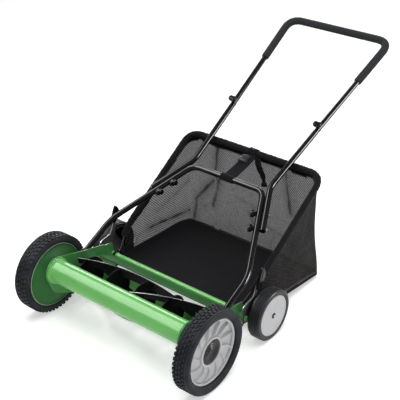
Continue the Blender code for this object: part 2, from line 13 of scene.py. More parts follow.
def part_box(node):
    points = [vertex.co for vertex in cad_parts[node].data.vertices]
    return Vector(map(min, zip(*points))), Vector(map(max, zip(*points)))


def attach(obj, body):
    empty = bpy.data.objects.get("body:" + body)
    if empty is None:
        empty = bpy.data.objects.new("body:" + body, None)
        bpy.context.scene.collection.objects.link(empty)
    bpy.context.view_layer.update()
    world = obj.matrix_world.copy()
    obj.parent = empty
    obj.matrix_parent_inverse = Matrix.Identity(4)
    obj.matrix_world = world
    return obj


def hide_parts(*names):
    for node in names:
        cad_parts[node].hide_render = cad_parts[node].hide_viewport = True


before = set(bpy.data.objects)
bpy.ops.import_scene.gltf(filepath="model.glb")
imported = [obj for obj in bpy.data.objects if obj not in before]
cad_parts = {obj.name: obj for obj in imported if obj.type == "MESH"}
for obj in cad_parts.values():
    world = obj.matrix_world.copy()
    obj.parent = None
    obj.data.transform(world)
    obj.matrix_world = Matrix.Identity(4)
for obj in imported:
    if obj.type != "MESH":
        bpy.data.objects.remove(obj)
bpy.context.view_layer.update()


def middle(node):
    low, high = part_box(node)
    return (low + high) / 2


def span(node):
    """The x of a node's two sides."""
    return [corner.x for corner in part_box(node)]


# ---- driving dimensions, in metres ----
AXLE = middle("front_tyre_left")
REAR_AXLE = middle("rear_tyre_left")
REEL = middle("reel_shaft")
TUBE = middle("front_tube")
ROD = middle("rear_rod")

WHEEL_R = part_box("front_tyre_left")[1].z / 2
WHEEL_IN, WHEEL_OUT = span("front_tyre_left")
REAR_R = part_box("rear_tyre_left")[1].z / 2
REAR_IN, REAR_OUT = span("rear_tyre_left")
PLATE_IN, PLATE_OUT = span("side_plate_left")
BEAD_R, BEAD_IN = 0.1002, 0.2905    # of the front tyre's bead: its radius, and the x of its inner edge
TUBE_R = 0.036
ROD_R = 0.0085
REEL_R = 0.068
REEL_HALF = span("reel_blade_1")[1]
REEL_TWIST = math.radians(-142)
BLADE_START = math.radians(32.5)
BLADE_INNER_R = 0.044
BLADES = 4
SPIDERS = {"left_outer": 0.22, "left": 0.11, "middle": 0.0, "right": -0.11, "right_outer": -0.22}
HANDLE_R = 0.0095
UPPER_R = 0.009
FOAM_R = 0.013
WIRE_R = 0.0035
BINDING_R = 0.0105
CATCHER_X = 0.262
RIM_Y, RIM_Z = 0.640, 0.370
RIM_BEND, SEAM_BEND = 0.050, 0.022  # radius of the bag's back corners, along its rim and its floor
SIDES = (("left", 1), ("right", -1))


def at(x, y, z):
    return Vector((x, y + AXLE.y, z))


def around(centre, radius, angle, x):
    """The point at a distance and an angle from a cross-wise axis through centre."""
    return Vector((x, centre.y + radius * math.cos(angle), centre.z + radius * math.sin(angle)))


def lump(x, y, z):
    """Smooth noise, from -1 to 1."""
    return noise.noise(Vector((x, y, z)))


def clamped(value):
    return max(0, min(1, value))


# ---- camera, light and floor ----
def fill(shader, **inputs):
    """Sets a shader node's inputs; an underscore stands for a space in an input's name."""
    for key, value in inputs.items():
        shader.inputs[key.replace("_", " ")].default_value = value
    return shader


def make_camera():
    azimuth, elevation, roll = math.radians(39.134), math.radians(30.667), math.radians(-1.175)
    distance, target = 2.8262, at(0.0069, 0.35, 0.3307)
    back = Vector((math.sin(azimuth) * math.cos(elevation), -math.cos(azimuth) * math.cos(elevation),
                   math.sin(elevation)))
    right = Vector((math.cos(azimuth), math.sin(azimuth), 0))
    up = back.cross(right)
    turned_right = right * math.cos(roll) + up * math.sin(roll)
    turned_up = up * math.cos(roll) - right * math.sin(roll)
    data = bpy.data.cameras.new("camera")
    data.lens = 83.36
    data.sensor_width = 36
    camera = bpy.data.objects.new("camera", data)
    bpy.context.scene.collection.objects.link(camera)
    rotation = Matrix((turned_right, turned_up, back)).transposed().to_4x4()
    camera.matrix_world = Matrix.Translation(target + back * distance) @ rotation
    bpy.context.scene.camera = camera


def softbox(name, place, aim, size, power):
    data = bpy.data.lights.new(name, "AREA")
    data.shape = "RECTANGLE"
    data.size, data.size_y = size
    data.energy = power
    lamp = bpy.data.objects.new(name, data)
    lamp.location = place
    lamp.rotation_euler = (Vector(aim) - Vector(place)).to_track_quat("-Z", "Y").to_euler()
    bpy.context.scene.collection.objects.link(lamp)
    return lamp


def make_light():
    world = bpy.data.worlds.new("studio")
    world.use_nodes = True
    fill(world.node_tree.nodes["Background"], Color=(1, 1, 1, 1), Strength=0.40)
    bpy.context.scene.world = world
    panels = (softbox("streak_panel", (-1.55, -1.45, 2.2), (-1.55, -1.45, 0), (1.10, 3.4), 150),
              softbox("back_panel", (-1.9, 2.6, 1.5), (0, 0, 0.3), (3.0, 1.0), 110),
              softbox("right_panel", (2.6, 1.4, 1.1), (0, 0.4, 0.5), (1.2, 1.0), 150))
    for panel in panels:
        panel.visible_diffuse = False
        panel.visible_camera = False
    overhead = softbox("overhead", (0.2, -0.3, 2.9), (0.1, -0.2, 0), (2.8, 2.6), 85)
    overhead.visible_glossy = False
    bpy.context.scene.view_settings.view_transform = "Standard"


def make_floor(reach=30):
    data = bpy.data.meshes.new("floor")
    corners = [(-reach, -reach, 0), (reach, -reach, 0), (reach, reach, 0), (-reach, reach, 0)]
    data.from_pydata(corners, [], [(0, 1, 2, 3)])
    floor = bpy.data.objects.new("floor", data)
    bpy.context.scene.collection.objects.link(floor)
    paint = bpy.data.materials.new("floor")
    paint.use_nodes = True
    fill(paint.node_tree.nodes["Principled BSDF"], Base_Color=(0.87, 0.87, 0.87, 1), Roughness=0.9,
         Specular_IOR_Level=0.0, Emission_Color=(1, 1, 1, 1), Emission_Strength=0.47)
    data.materials.append(paint)


# ---- materials ----
class Paint:
    """A Principled material whose textures run in the mower's own coordinates, in metres.

    slot is the slot of the pieces that wear it, or None for a paint that no piece starts with; it is kept
    but not used here.
    """

    def __init__(self, name, slot, colour, roughness, gloss=0.2, metallic=0.0):
        self.slot = slot
        self.material = bpy.data.materials.new(name)
        self.material.use_nodes = True
        self.tree = self.material.node_tree
        self.shader = fill(self.tree.nodes["Principled BSDF"], Base_Color=(*colour, 1), Roughness=roughness,
                           Metallic=metallic, Specular_IOR_Level=gloss)
        self.material.diffuse_color = (*colour, 1)
        self.place = self.node("ShaderNodeTexCoord").outputs["Object"]

    def node(self, kind, **inputs):
        return fill(self.tree.nodes.new(kind), **inputs)

    def link(self, start, end):
        self.tree.links.new(start, end)

    def scaled(self, scale):
        stretch = self.node("ShaderNodeMapping", Scale=scale)
        self.link(self.place, stretch.inputs["Vector"])
        return stretch.outputs["Vector"]

    def noise(self, scale, detail=4.0, stretch=(1, 1, 1)):
        made = self.node("ShaderNodeTexNoise", Scale=scale, Detail=detail)
        self.link(self.scaled(stretch), made.inputs["Vector"])
        return made.outputs["Fac"]

    def voronoi(self, scale):
        made = self.node("ShaderNodeTexVoronoi", Scale=scale)
        self.link(self.place, made.inputs["Vector"])
        return made.outputs["Distance"]

    def wave(self, scale, axis, distortion=0.0):
        made = self.node("ShaderNodeTexWave", Scale=scale, Distortion=distortion)
        made.bands_direction = axis
        self.link(self.place, made.inputs["Vector"])
        return made.outputs["Fac"]

    def ramp(self, value, low, high, start, end):
        """value from low to high, mapped on start to end."""
        made = self.node("ShaderNodeMapRange", From_Min=low, From_Max=high, To_Min=start, To_Max=end)
        self.link(value, made.inputs["Value"])
        return made.outputs["Result"]

    def maths(self, operation, first, second):
        made = self.node("ShaderNodeMath")
        made.operation = operation
        for i, value in enumerate((first, second)):
            if isinstance(value, (int, float)):
                made.inputs[i].default_value = value
            else:
                self.link(value, made.inputs[i])
        return made.outputs[0]

    def mixed(self, factor, first, second):
        """A colour between first and second; each is three numbers or another node's output."""
        mix = self.node("ShaderNodeMix")
        mix.data_type = "RGBA"
        for key, value in (("A", first), ("B", second)):
            if isinstance(value, tuple):
                mix.inputs[key].default_value = (*value, 1)
            else:
                self.link(value, mix.inputs[key])
        self.link(factor, mix.inputs["Factor"])
        return mix.outputs["Result"]

    def colours(self, factor, first, second):
        self.link(self.mixed(factor, first, second), self.shader.inputs["Base Color"])

    def rough(self, factor):
        self.link(factor, self.shader.inputs["Roughness"])

    def bump(self, height, distance, strength=1.0):
        made = self.node("ShaderNodeBump", Distance=distance, Strength=strength)
        self.link(height, made.inputs["Height"])
        self.link(made.outputs["Normal"], self.shader.inputs["Normal"])
        return self


def gloss_paint(name, slot, colour, shade, roughness, gloss):
    """Sprayed enamel: a little uneven in tone, with faint orange peel."""
    made = Paint(name, slot, colour, roughness, gloss)
    made.colours(made.ramp(made.noise(9.0), 0.35, 0.65, 0, 1), colour, shade)
    made.rough(made.ramp(made.noise(160.0), 0.3, 0.7, roughness - 0.04, roughness + 0.08))
    return made.bump(made.noise(420.0, 2.0), 0.00012, 0.35)


def worn_steel(name, slot, colour, roughness, stretch):
    """Bare steel with fine grinding lines."""
    made = Paint(name, slot, colour, roughness, 0.5, 1.0)
    lines = made.noise(900.0, 3.0, stretch)
    made.rough(made.ramp(lines, 0.3, 0.7, roughness - 0.08, roughness + 0.12))
    made.colours(made.noise(40.0), colour, tuple(c * 0.8 for c in colour))
    return made.bump(lines, 0.00004, 0.5)


def moulded_plastic(name, slot, colour, roughness, grain=700.0, gloss=0.25):
    """Injection-moulded plastic with a fine spark-eroded grain."""
    made = Paint(name, slot, colour, roughness, gloss)
    made.colours(made.noise(25.0), colour, tuple(c * 0.86 for c in colour))
    made.rough(made.ramp(made.noise(90.0), 0.3, 0.7, roughness - 0.06, roughness + 0.08))
    return made.bump(made.noise(grain, 3.0), 0.00010, 0.4)


def tyre_rubber(name):
    """Charcoal rubber with a bloom of dust and a faint mould grain."""
    made = Paint(name, "tyre_rubber", (0.018, 0.019, 0.022), 0.66, 0.12)
    bloom = made.ramp(made.noise(30.0, 6.0), 0.35, 0.7, 0, 1)
    made.colours(bloom, (0.010, 0.012, 0.015), (0.024, 0.026, 0.031))
    made.rough(made.ramp(made.noise(120.0), 0.3, 0.7, 0.5, 0.72))
    return made.bump(made.noise(1100.0, 3.0), 0.00016, 0.5)


def foam(name):
    """Closed-cell foam: matt, with tiny open pores."""
    made = Paint(name, "foam_grip", (0.012, 0.012, 0.014), 0.85, 0.10)
    pores = made.voronoi(900.0)
    made.colours(made.ramp(pores, 0.0, 0.6, 0, 1), (0.010, 0.010, 0.012), (0.026, 0.027, 0.030))
    return made.bump(pores, 0.0003, 0.8)


def woven(name, slot, dark, light, pitch, axes=("X", "Y"), depth=0.0003):
    """A plain weave: two crossing sets of threads."""
    made = Paint(name, slot, dark, 0.88, 0.05)
    scale = 1 / pitch / 20 * 2 * math.pi
    threads = made.maths("MULTIPLY", made.wave(scale, axes[0]), made.wave(scale, axes[1]))
    faded = made.maths("MULTIPLY", threads, made.ramp(made.noise(14.0, 6.0), 0.3, 0.7, 0.5, 1.0))
    made.colours(faded, dark, light)
    fill(made.shader, Sheen_Weight=0.08, Sheen_Roughness=0.5)
    return made.bump(threads, depth, 0.8)


RIB_PITCH = 0.0095                # of the mesh cloth's ribs, along each axis


def mesh_cloth(name):
    """Open knitted mesh with fine ribs, seen through its threads; solid and dark at its hems and in creases
    (painted shade).
    """
    made = Paint(name, "mesh_cloth", (0.05, 0.047, 0.046), 0.8, 0.03)
    knit = made.noise(620.0, 2.0)
    ribs = made.wave(2 * math.pi / 10 / RIB_PITCH, "DIAGONAL", 1.2)
    between_threads = made.ramp(knit, 0.35, 0.65, 0.10, 0.01)
    open_work = made.maths("ADD", between_threads, made.ramp(ribs, 0, 1, 0.09, -0.02))
    # the attribute holds painted shade along the cloth's folds and wrinkles, plus its dark hems; the cloth
    # is solid and dark there
    painted_shade_and_hems = made.node("ShaderNodeAttribute")
    painted_shade_and_hems.attribute_name = "painted_shade_and_hems"
    shade_and_hems = painted_shade_and_hems.outputs["Fac"]
    tone = made.ramp(made.noise(8.0, 5.0), 0.3, 0.7, 0, 1)
    tint = made.mixed(tone, (0.020, 0.019, 0.019), (0.036, 0.034, 0.033))
    made.colours(shade_and_hems, tint, (0.006, 0.006, 0.007))
    holes = made.maths("MULTIPLY", open_work, made.maths("SUBTRACT", 1.0, shade_and_hems))
    made.link(made.maths("SUBTRACT", 1.0, holes), made.shader.inputs["Alpha"])
    return made.bump(knit, 0.0005, 0.6)


make_camera()
make_light()
make_floor()

BRIGHT_GREEN = gloss_paint("bright_green_enamel", "green_paint", (0.125, 0.40, 0.10), (0.145, 0.44, 0.12),
                           0.16, 0.20)
PLATE_GREEN = gloss_paint("plate_green_enamel", "green_plate", (0.060, 0.24, 0.066), (0.078, 0.29, 0.084),
                          0.24, 0.20)
DISH_GREEN = gloss_paint("dish_green_enamel", "green_plate", (0.028, 0.115, 0.032), (0.038, 0.145, 0.042),
                         0.45, 0.05)
# a darker green for the deflector: painted shade, where it lies behind the reel
DEFLECTOR_PAINTED_SHADE_GREEN = gloss_paint("deflector_painted_shade_green", None, (0.022, 0.095, 0.025), (0.030, 0.12, 0.033),
                          0.45, 0.10)
# a pale green: the painted highlight along the gear covers' rolled edges
ROLLED_EDGE_HIGHLIGHT_GREEN = gloss_paint("rolled_edge_painted_highlight", None, (0.34, 0.46, 0.32), (0.46, 0.56, 0.42), 0.40, 0.2)
BLACK_ENAMEL = gloss_paint("black_enamel", "black_paint", (0.003, 0.003, 0.004), (0.006, 0.006, 0.007),
                           0.09, 0.24)
BLADE_BLACK = gloss_paint("reel_black", "blade_steel", (0.002, 0.002, 0.0025), (0.004, 0.004, 0.005),
                          0.50, 0.06)
BEDKNIFE_STEEL = worn_steel("bedknife_steel", None, (0.10, 0.098, 0.11), 0.5, (0.05, 1, 1))
GROUND_STEEL = worn_steel("ground_steel", None, (0.15, 0.147, 0.145), 0.38, (0.05, 1, 1))
ZINC = worn_steel("zinc_plate", "bright_steel", (0.34, 0.34, 0.35), 0.34, (1, 1, 1))
YELLOW_ZINC = worn_steel("yellow_zinc_plate", "bright_steel", (0.30, 0.40, 0.24), 0.34, (1, 1, 1))
RUBBER = tyre_rubber("tyre_rubber")
RIBBED_RUBBER = moulded_plastic("ribbed_rubber", "tyre_rubber", (0.005, 0.005, 0.006), 0.40, 900.0)
# a lighter copy of the tread rubber for the rib tops: painted highlight
RIB_TOP_HIGHLIGHT_RUBBER = moulded_plastic("rib_top_painted_highlight", None, (0.022, 0.022, 0.025), 0.44, 900.0)
HUB_GREY = moulded_plastic("hub_grey", "hub_plastic", (0.53, 0.53, 0.54), 0.42, 500.0)
CAP_BLACK = moulded_plastic("black_plastic", "black_plastic", (0.004, 0.004, 0.005), 0.20, 700.0, 0.16)
BUCKLE_GREY = moulded_plastic("buckle_plastic", "black_plastic", (0.016, 0.017, 0.020), 0.30)
FOAM = foam("grip_foam")
CANVAS = woven("floor_canvas", "canvas", (0.0055, 0.0055, 0.0068), (0.0135, 0.0135, 0.0155), 0.0016)
BINDING = woven("rim_binding", "canvas", (0.005, 0.005, 0.006), (0.024, 0.024, 0.027), 0.0012, ("Z", "Y"))
WEBBING = woven("webbing", "webbing", (0.003, 0.003, 0.004), (0.012, 0.012, 0.014), 0.0030, depth=0.0006)
MESH_CLOTH = mesh_cloth("mesh_cloth")


# ---- makers ----
def mesh(name, verts, faces):
    data = bpy.data.meshes.new(name)
    data.from_pydata([tuple(v) for v in verts], [], faces)
    shape = bmesh.new()
    shape.from_mesh(data)
    bmesh.ops.remove_doubles(shape, verts=shape.verts, dist=1e-7)
    bmesh.ops.recalc_face_normals(shape, faces=shape.faces)
    shape.to_mesh(data)
    shape.free()
    return data


def piece(name, shape, paint, body, replaced=(), sharp=35):
    """One piece of the model; shape is its vertices and its faces."""
    data = mesh(name, *shape)
    data.materials.append(paint.material)
    data.shade_smooth()
    data.set_sharp_from_angle(angle=math.radians(sharp))
    made = bpy.data.objects.new(name, data)
    bpy.context.scene.collection.objects.link(made)
    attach(made, body)
    if replaced:
        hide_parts(*replaced)
    return made


def grid_faces(rows, columns, wrap_rows=False, wrap_columns=False, start=0):
    faces = []
    for i in range(rows if wrap_rows else rows - 1):
        for j in range(columns if wrap_columns else columns - 1):
            k, m = (i + 1) % rows, (j + 1) % columns
            loop = (i * columns + j, i * columns + m, k * columns + m, k * columns + j)
            faces.append(tuple(start + n for n in loop))
    return faces


def tube_faces(rows, columns):
    """Faces of a tube with a ring of columns points at each row, closed at both ends."""
    count = rows * columns
    ends = [tuple(range(columns)), tuple(range(count - columns, count))]
    return grid_faces(rows, columns, False, True) + ends


def softened(points, radius, count=4, closed=False):
    """A flat path of (a, b) whose corners become short curves that start radius away from them."""
    points = [Vector(p) for p in points]
    corners = points if closed else points[1:-1]
    made = [] if closed else [points[0]]
    for i, corner in enumerate(corners):
        k = i if closed else i + 1
        before, after = points[k - 1], points[(k + 1) % len(points)]
        enter = corner + (before - corner).normalized() * min(radius, (before - corner).length * 0.48)
        leave = corner + (after - corner).normalized() * min(radius, (after - corner).length * 0.48)
        for n in range(count + 1):
            t = n / count
            made.append(enter * (1 - t) ** 2 + corner * 2 * t * (1 - t) + leave * t ** 2)
    return made if closed else made + [points[-1]]


def lathe(profile, centre, side, steps, closed):
    """Vertices and faces of a profile of (radius, distance from the mower's middle plane)."""
    verts = []
    for i in range(steps):
        angle = 2 * math.pi * i / steps
        verts += [around(centre, radius, angle, side * out) for radius, out in profile]
    return verts, grid_faces(steps, len(profile), True, closed)


def two_sided(half):
    """A profile from the left end to the middle, carried on to the right end."""
    return half + [(radius, -out) for radius, out in reversed(half)]


def turned(name, profile, centre, paint, body, replaced=(), side=1, steps=96, closed=False, sharp=35):
    return piece(name, lathe(profile, centre, side, steps, closed), paint, body, replaced, sharp)


def frames(path):
    """For each point of a path: the point, and two directions square to the path that don't twist."""
    made = []
    along = (path[1] - path[0]).normalized()
    first = along.orthogonal().normalized()
    for i, point in enumerate(path):
        ahead = (path[min(i + 1, len(path) - 1)] - path[max(i - 1, 0)]).normalized()
        first = (first - ahead * first.dot(ahead)).normalized()
        made.append((point, first, ahead.cross(first)))
    return made


def swept(path, section):
    """A closed tube along a path; section(i) gives the points (a, b) round it at the path's point i."""
    verts = []
    for i, (point, first, second) in enumerate(frames(path)):
        verts += [point + first * a + second * b for a, b in section(i)]
    return verts, tube_faces(len(path), len(section(0)))


def ring(radius, count=20):
    return [(radius * math.cos(2 * math.pi * i / count), radius * math.sin(2 * math.pi * i / count))
            for i in range(count)]


def tube(name, path, radius, paint, body, replaced=()):
    return piece(name, swept(path, lambda i: ring(radius)), paint, body, replaced, 50)


def prism(name, outline, x0, x1, paint, body, replaced, edge, side=1):
    """A flat plate across X with rounded edges; its outline is (y, z) from the front axle."""
    count = len(outline)
    verts = [at(side * x, y, z) for x in (x0, x1) for y, z in outline]
    faces = [tuple(range(count)), tuple(range(count, 2 * count))]
    faces += [(i, (i + 1) % count, count + (i + 1) % count, count + i) for i in range(count)]
    made = piece(name, (verts, faces), paint, body, replaced)
    bevel = made.modifiers.new("edge", "BEVEL")
    bevel.width = edge
    bevel.segments = 2
    bevel.harden_normals = True
    return made


def thicken(made, thickness):
    made.modifiers.new("thickness", "SOLIDIFY").thickness = thickness


def repaint_where(made, paint, chosen):
    """Gives a second paint to the faces of a piece whose middle passes the test chosen."""
    made.data.materials.append(paint.material)
    for face in made.data.polygons:
        face.material_index = int(chosen(face.center))


def radius_from(axis, spot):
    return math.hypot(spot.y - axis.y, spot.z - axis.z)


def repaint(paint, *nodes):
    for node in nodes:
        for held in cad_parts[node].material_slots:
            held.material = paint.material


# ---- front wheels ----
TREAD_DEPTH = 0.0030
TREAD_PITCH = 52                  # blocks in each row round the tyre
TREAD_SHARE = 0.62                # of the pitch that a block takes up
# rows of blocks: inner and outer edge from the tyre's inner side, then phase and skew in pitches
TREAD_ROWS = ((0.0025, 0.0115, 0.00, 0.20), (0.0135, 0.0215, 0.50, -0.12),
              (0.0235, 0.0315, 0.00, 0.12), (0.0335, 0.0410, 0.50, -0.12))
PLEATS, PLEAT_STEP = 12, 0.0058   # swirled pleats on a front hub, and how far each one rises


def carcass_profile():
    base = WHEEL_R - TREAD_DEPTH
    out, inner = WHEEL_OUT, WHEEL_IN
    wall = [(BEAD_R, out - 0.0100), (0.1015, out - 0.0074), (0.1045, out - 0.0052), (0.1120, out - 0.0024)]
    wall += [(0.1165, out - 0.0014), (0.1200, out - 0.0020), (WHEEL_R - 0.0022, out - 0.0040)]
    wall += [(WHEEL_R - 0.0004, out - 0.0070), (WHEEL_R - 0.0004, out - 0.0125), (base, out - 0.0130)]
    back = [(base, inner + 0.008), (base - 0.001, inner + 0.0042), (0.1190, inner + 0.0022)]
    back += [(0.1100, inner + 0.0010), (0.1048, inner + 0.0010), (0.1045, BEAD_IN), (BEAD_R, BEAD_IN)]
    return softened(wall + back, 0.0010, 2, True)


def tread_block(side, x0, x1, start, end, skew):
    """One tread block between two distances from the middle plane and two angles."""
    rows, top, foot = [], WHEEL_R, WHEEL_R - TREAD_DEPTH - 0.001
    inset = 0.0006
    for radius, shrink in ((foot, 0), (top - inset, 0), (top, inset)):
        for u in (0, 0.5, 1):
            for x, lean in ((x0 + shrink, 0), (x1 - shrink, skew)):
                angle = start + (end - start) * u + lean + (shrink / top) * (1 - 2 * u)
                rows.append(around(AXLE, radius, angle, side * x))
    faces = []
    for level in (0, 6):
        loop = [level + k for k in (0, 1, 3, 5, 4, 2)]
        faces += [(loop[i], loop[(i + 1) % 6], loop[(i + 1) % 6] + 6, loop[i] + 6) for i in range(6)]
    faces += [(12, 13, 15, 14), (14, 15, 17, 16)]
    return rows, faces


def front_tyre(side_name, side):
    verts, faces = lathe(carcass_profile(), AXLE, side, 120, True)
    pitch = 2 * math.pi / TREAD_PITCH
    for near, far, phase, skew in TREAD_ROWS:
        for k in range(TREAD_PITCH):
            start = (k + phase) * pitch
            more, more_faces = tread_block(side, WHEEL_IN + near, WHEEL_IN + far,
                                           start, start + pitch * TREAD_SHARE, skew * pitch)
            faces += [tuple(len(verts) + i for i in face) for face in more_faces]
            verts += more
    piece("tread_" + side_name, (verts, faces), RUBBER, "front_wheel_" + side_name,
          ["front_tyre_" + side_name], 30)


def hub_face(side, out_low):
    """The hub's dished face: pleats that sweep round, each rising to a ridge and dropping back."""
    inner, outer, radii = 0.0455, 0.0935, 10
    shares = (0, 0.3, 0.6, 0.85, 0.88, 0.92, 0.96, 1)
    across, verts, faces = len(shares) - 1, [], []
    for sector in range(PLEATS):
        start = len(verts)
        for j in range(radii + 1):
            t = j / radii
            radius = inner + (outer - inner) * t
            lean = -0.06 - 0.26 * t ** 1.6
            fade = min(1, 4 * t, 6 * (1 - t) + 0.15)
            for u in shares:
                angle = (sector + u) * 2 * math.pi / PLEATS + lean + math.radians(25)
                rise = PLEAT_STEP * fade * (0.6 * u ** 1.5 + (1.0 if 0.87 < u < 0.97 else 0))
                verts.append(around(AXLE, radius, angle, side * (out_low + rise)))
        faces += grid_faces(radii + 1, across + 1, start=start)
        following = (start + (radii + 1) * (across + 1)) % (PLEATS * (radii + 1) * (across + 1))
        for j in range(radii):
            high, low = start + j * (across + 1) + across, following + j * (across + 1)
            faces.append((high, high + across + 1, low + across + 1, low))
    return verts, faces


def front_hub(side_name, side):
    body = "front_wheel_" + side_name
    face_out = WHEEL_OUT - 0.0200
    piece("hub_face_" + side_name, hub_face(side, face_out), HUB_GREY, body,
          ["front_hub_" + side_name], 28)
    collar = [(0.0385, face_out - 0.006), (0.0385, face_out + 0.0045), (0.0395, face_out + 0.0056),
              (0.0435, face_out + 0.0056), (0.0450, face_out + 0.0046), (0.0470, face_out - 0.002)]
    turned("hub_collar_" + side_name, softened(collar, 0.0012), AXLE, HUB_GREY, body, (), side)
    rim = [(0.0925, face_out - 0.003), (0.0932, face_out + 0.0058), (0.0950, face_out + 0.0078),
           (0.0985, face_out + 0.0082), (BEAD_R - 0.0003, face_out + 0.0072)]
    rim += [(BEAD_R - 0.0003, BEAD_IN + 0.0005), (0.0966, BEAD_IN + 0.0005), (0.0966, face_out - 0.003)]
    turned("hub_rim_" + side_name, softened(rim, 0.0010, 3, True), AXLE, HUB_GREY, body, (),
           side, 120, True)
    disc = [(0.0084, face_out - 0.003), (0.0470, face_out - 0.003), (0.0966, face_out - 0.003)]
    turned("hub_back_" + side_name, disc, AXLE, HUB_GREY, body, (), side)


def hub_cap(side_name, side):
    low, high = span("hub_cap_left")
    profile = [(0, high - 0.0004), (0.006, high - 0.0004)]
    for radius in (0.0080, 0.0140, 0.0200, 0.0260):
        profile += [(radius, high - 0.0004), (radius + 0.0010, high + 0.0002)]
        profile += [(radius + 0.0030, high + 0.0002), (radius + 0.0040, high - 0.0006)]
    profile += [(0.0325, high - 0.0004), (0.0362, high - 0.0010), (0.0378, high - 0.0026), (0.0378, low)]
    turned("cap_" + side_name, profile, AXLE, CAP_BLACK, "front_wheel_" + side_name,
           ["hub_cap_" + side_name], side)


ROLLED_EDGE_R = 0.1012            # a gear cover's edge has a painted highlight outside this


def gear_cover(side_name, side):
    """Pressed dish inside the wheel, with its rim rolled over."""
    face = [(0.0120, 0.2592), (0.0300, 0.2594), (0.0440, 0.2630), (0.0660, 0.2735), (0.0880, 0.2838)]
    lip = [(0.0955, 0.2862), (0.0985, 0.2866), (0.1005, 0.2856), (0.1022, 0.2856), (0.1034, 0.2868)]
    back = [(0.1030, 0.2892), (0.0980, 0.2888), (0.0880, 0.2858), (0.0660, 0.2752), (0.0300, 0.2608),
            (0.0120, 0.2606)]
    profile = softened(face + lip + back, 0.0015, 3, True)
    dish = turned("dish_" + side_name, profile, AXLE, DISH_GREEN, "chassis",
                  ["gear_cover_" + side_name], side, 128, True, 40)
    # the rolled lip gets the pale green, a painted highlight
    repaint_where(dish, ROLLED_EDGE_HIGHLIGHT_GREEN, lambda spot: radius_from(AXLE, spot) > ROLLED_EDGE_R)


# ---- rear wheels ----
def rear_tyre(side_name, side):
    ribs, groove, first = 6, 0.0030, REAR_OUT - 0.004
    pitch = (first - REAR_IN - 0.004) / ribs
    profile = [(0.0640, REAR_OUT - 0.0022), (0.0665, REAR_OUT - 0.0006), (0.0740, REAR_OUT)]
    profile += [(REAR_R - 0.0030, REAR_OUT - 0.0008), (REAR_R - 0.0006, REAR_OUT - 0.0030)]
    for k in range(ribs):
        far, near = first - pitch * k, first - pitch * (k + 0.66)
        profile += [(REAR_R, far), (REAR_R, near), (REAR_R - groove, near - 0.0003)]
        profile += [(REAR_R - groove, first - pitch * (k + 0.97))]
    profile += [(REAR_R - 0.0030, REAR_IN + 0.0010), (0.0740, REAR_IN), (0.0640, REAR_IN + 0.0020)]
    tread = turned("rear_tread_" + side_name, softened(profile, 0.0006, 2, True), REAR_AXLE, RIBBED_RUBBER,
                   "rear_wheel_" + side_name, ["rear_tyre_" + side_name], side, 96, True, 30)
    # rib tops in the lighter rubber: painted highlight against the darker grooves
    repaint_where(tread, RIB_TOP_HIGHLIGHT_RUBBER, lambda spot: radius_from(REAR_AXLE, spot) > REAR_R - 0.0009)


def rear_hub(side_name, side):
    body, out = "rear_wheel_" + side_name, REAR_OUT - 0.0015
    face = [(0.0090, out - 0.0030), (0.0092, out - 0.0004), (0.0130, out - 0.0002), (0.0150, out - 0.0012)]
    face += [(0.0560, out - 0.0016), (0.0600, out - 0.0008), (0.0625, out + 0.0003), (0.0642, out)]
    back = [(0.0642, REAR_IN + 0.003), (0.0600, REAR_IN + 0.003), (0.0600, out - 0.003)]
    back += [(0.0130, out - 0.003), (0.0110, REAR_IN + 0.002)]
    back += [(0.0066, REAR_IN + 0.002), (0.0066, out - 0.003)]
    profile = softened(face + back, 0.0004, 2, True)
    disc = turned("rear_disc_" + side_name, profile, REAR_AXLE, HUB_GREY, body, ["rear_hub_" + side_name],
                  side, 96, True)
    # the bore and the back of the disc in black: painted shade in the recess round the bolt
    repaint_where(disc, CAP_BLACK, lambda spot: abs(spot.x) < out - 0.0024)
    arm = "height_arm_body_" + side_name
    # a black disc in the hole round the bolt: painted shade of the recess
    recess_shade_disc = [(0, out + 0.0004), (0.0080, out + 0.0004), (0.0086, out - 0.0002), (0.0086, out - 0.0020)]
    turned("rear_washer_" + side_name, recess_shade_disc, REAR_AXLE, CAP_BLACK, arm, (), side, 48)
    bolt = [(0, out + 0.0030), (0.0030, out + 0.0030), (0.0036, out + 0.0024), (0.0036, out)]
    bolt += [(0.0058, out - 0.0006), (0.0058, REAR_IN - 0.0015), (0, REAR_IN - 0.0015)]
    turned("rear_bolt_" + side_name, bolt, REAR_AXLE, YELLOW_ZINC, arm,
           ["rear_axle_bolt_" + side_name], side, 32)


# ---- chassis ----
def front_tube():
    half = [(0.0345, PLATE_IN - 0.0003), (0.0400, PLATE_IN - 0.0003), (0.0423, PLATE_IN - 0.0012)]
    half += [(0.0423, 0.2512), (0.0405, 0.2500), (0.0372, 0.2492), (TUBE_R, 0.2470)]
    profile = softened(two_sided(half), 0.0010, 3, True)
    turned("cross_tube", profile, TUBE, BRIGHT_GREEN, "chassis", ["front_tube"], 1, 128, True, 40)


def rear_rod():
    end, sleeve = PLATE_OUT, 0.2360
    half = [(0, end + 0.0015), (0.0060, end + 0.0015), (0.0092, end), (0.0095, end - 0.001)]
    half += [(0.0095, sleeve), (0.0086, sleeve - 0.0008), (ROD_R, sleeve - 0.002)]
    turned("cross_rod", two_sided(half), ROD, BRIGHT_GREEN, "chassis", ["rear_rod"], 1, 48)


def plate_ring(side_name, side):
    """Pressed ring round the cross tube's end on the inner face of a side plate."""
    inner = PLATE_IN - 0.0012
    profile = [(0.0428, PLATE_IN + 0.0002), (0.0430, inner), (0.0440, inner - 0.0006), (0.0450, inner)]
    profile = softened(profile + [(0.0452, PLATE_IN + 0.0002)], 0.0003, 2)
    turned("plate_ring_" + side_name, profile, TUBE, PLATE_GREEN, "chassis", (), side)


# ---- reel ----
def blade_angle(number, x):
    return BLADE_START + number * 2 * math.pi / BLADES + REEL_TWIST * x / (2 * REEL_HALF)


